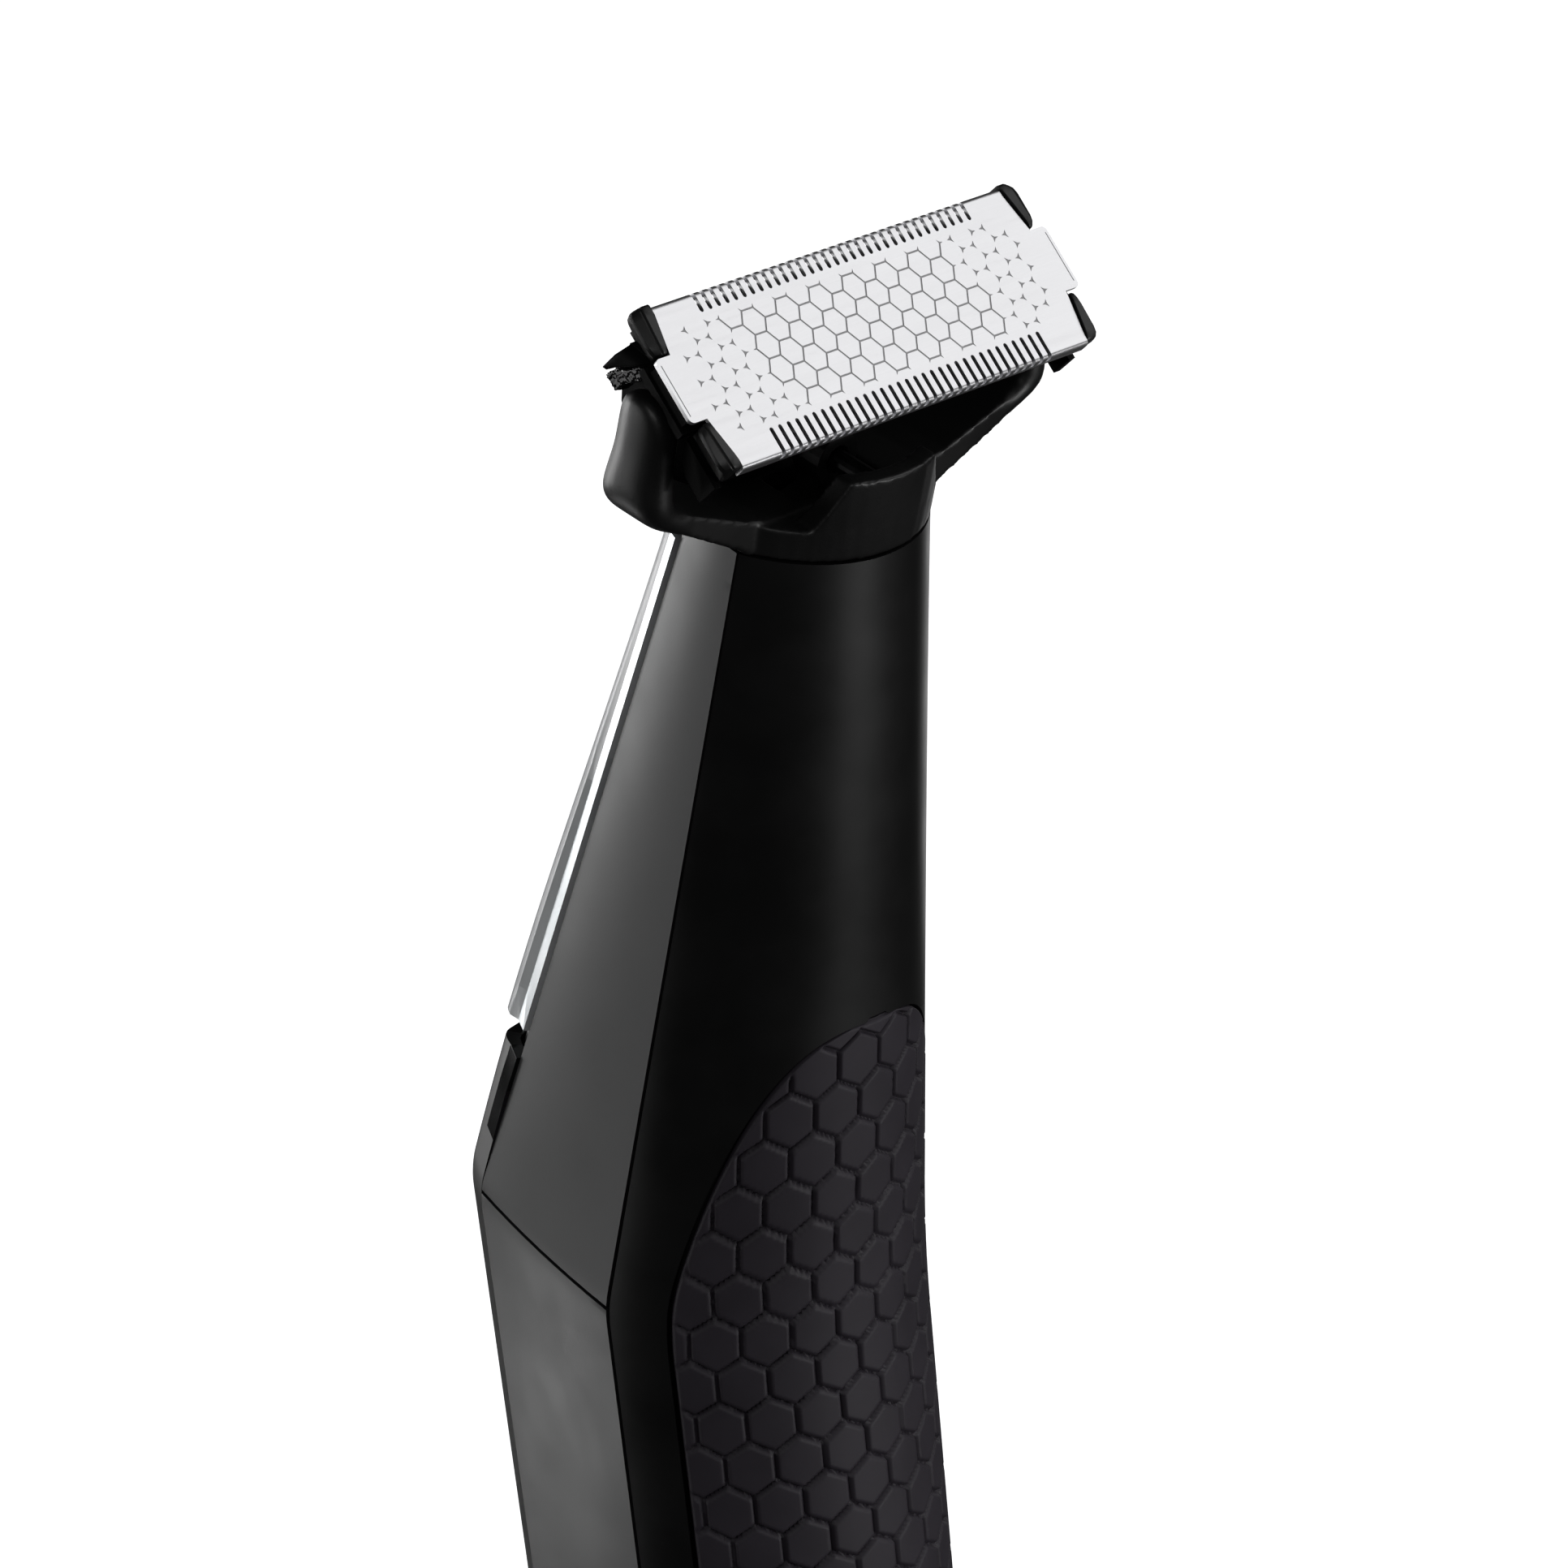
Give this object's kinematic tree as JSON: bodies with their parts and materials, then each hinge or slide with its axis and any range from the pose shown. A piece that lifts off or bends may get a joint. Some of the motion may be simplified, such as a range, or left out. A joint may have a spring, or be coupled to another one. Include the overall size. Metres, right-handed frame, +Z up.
{
  "type": "foil shaver",
  "caption": "Cordless foil shaver with a bent, rubber-gripped handle, a pull-off forked head and a tilting slotted foil cartridge.",
  "frame": {"origin": "centre of the lower handle's axis on the flat base", "axes": "+Z up along the lower handle, -Y to the front with the power button, +Y to the back with the grip, +X along the foil"},
  "size_m": [0.0404, 0.0463, 0.1641],
  "materials": {
    "black_case": "satin black",
    "grey_case": "satin dark grey",
    "black_rubber": "matt rubber",
    "bright_plate": "polished",
    "grey_trim": "translucent grey",
    "gloss_black": "gloss",
    "foil_steel": "brushed along its length",
    "steel": "plain",
    "white_plastic": "matt",
    "brass": "turned",
    "copper": "lacquered winding",
    "board_green": "solder mask",
    "magnet_grey": "sintered",
    "cell_wrap": "shrink film on a metal can",
    "lead_red": "plain",
    "lead_black": "plain",
    "clear_lens": "frosted"
  },
  "bodies": {
    "handle": {"rear_casing": "black_case", "upper_front_casing": "grey_case", "lower_front_casing": "grey_case", "rubber_grip": "black_rubber", "fascia_plate": "grey_trim", "fascia_bezel": "bright_plate", "lower_panel": "gloss_black", "base_cap": "black_case", "base_gasket": "black_rubber", "base_screw_left": "steel", "base_screw_right": "steel", "charging_socket": "steel", "socket_tongue": "lead_black", "chassis": "white_plastic", "battery_cell": "cell_wrap", "battery_tab_positive": "steel", "battery_tab_negative": "steel", "circuit_board": "board_green", "tact_switch": "lead_black", "indicator_lens": "clear_lens", "button_membrane": "black_rubber", "neck_spigot": "black_case", "shaft_seal": "black_rubber", "motor_can": "steel", "motor_end_cap": "lead_black", "motor_magnet_left": "magnet_grey", "motor_magnet_right": "magnet_grey", "motor_mount": "white_plastic", "motor_screw_left": "steel", "motor_screw_right": "steel", "motor_lead_positive": "lead_red", "motor_lead_negative": "lead_black"},
    "rotor": {"rotor_core": "copper", "rotor_shaft": "steel", "drive_eccentric": "brass"},
    "button": {"power_button": "gloss_black"},
    "head": {"head_yoke": "black_case", "lever_pin": "steel"},
    "lever": {"drive_lever": "white_plastic"},
    "cartridge": {"cartridge_base": "black_case", "upper_frame": "black_case", "foil_plate": "foil_steel", "corner_clip_front_left": "black_case", "corner_clip_front_right": "black_case", "corner_clip_back_left": "black_case", "corner_clip_back_right": "black_case", "pivot_pin_left": "steel", "pivot_pin_right": "steel", "lift_spring_left": "steel", "lift_spring_right": "steel", "centring_spring_left": "steel", "centring_spring_right": "steel"},
    "cutter": {"cutter_carrier": "white_plastic", "cutter_blade": "steel"}
  },
  "joints": [
    {"name": "motor_spin", "type": "hinge", "parent": "handle", "child": "rotor", "pos_m": [0, 0.01113, 0.12611], "axis": [0, 0.3584, 0.9336], "continuous": true},
    {"name": "power_button_press", "type": "slide", "parent": "handle", "child": "button", "axis": [0, 1, 0], "range_m": [0, 0.0005], "stiffness_N_per_m": 600, "springref_m": -0.0005},
    {"name": "head_release", "type": "slide", "parent": "handle", "child": "head", "axis": [0, 0.3584, 0.9336], "range_m": [0, 0.03]},
    {"name": "lever_rock", "type": "hinge", "parent": "head", "child": "lever", "pos_m": [0, 0.01991, 0.14898], "axis": [0, 0.9336, -0.3584], "range_deg": [-6.5, 6.5]},
    {"name": "cartridge_tilt", "type": "hinge", "parent": "head", "child": "cartridge", "pos_m": [0, 0.02186, 0.15573], "axis": [1, 0, 0], "range_deg": [-10, 10], "stiffness_Nm_per_rad": 0.02},
    {"name": "cutter_stroke", "type": "slide", "parent": "cartridge", "child": "cutter", "axis": [1, 0, 0], "range_m": [-0.00079, 0.00079]}
  ],
  "couplings": [
    {"joint": "lever_rock", "follows": "cutter_stroke", "rad_per_m": 142.86}
  ]
}
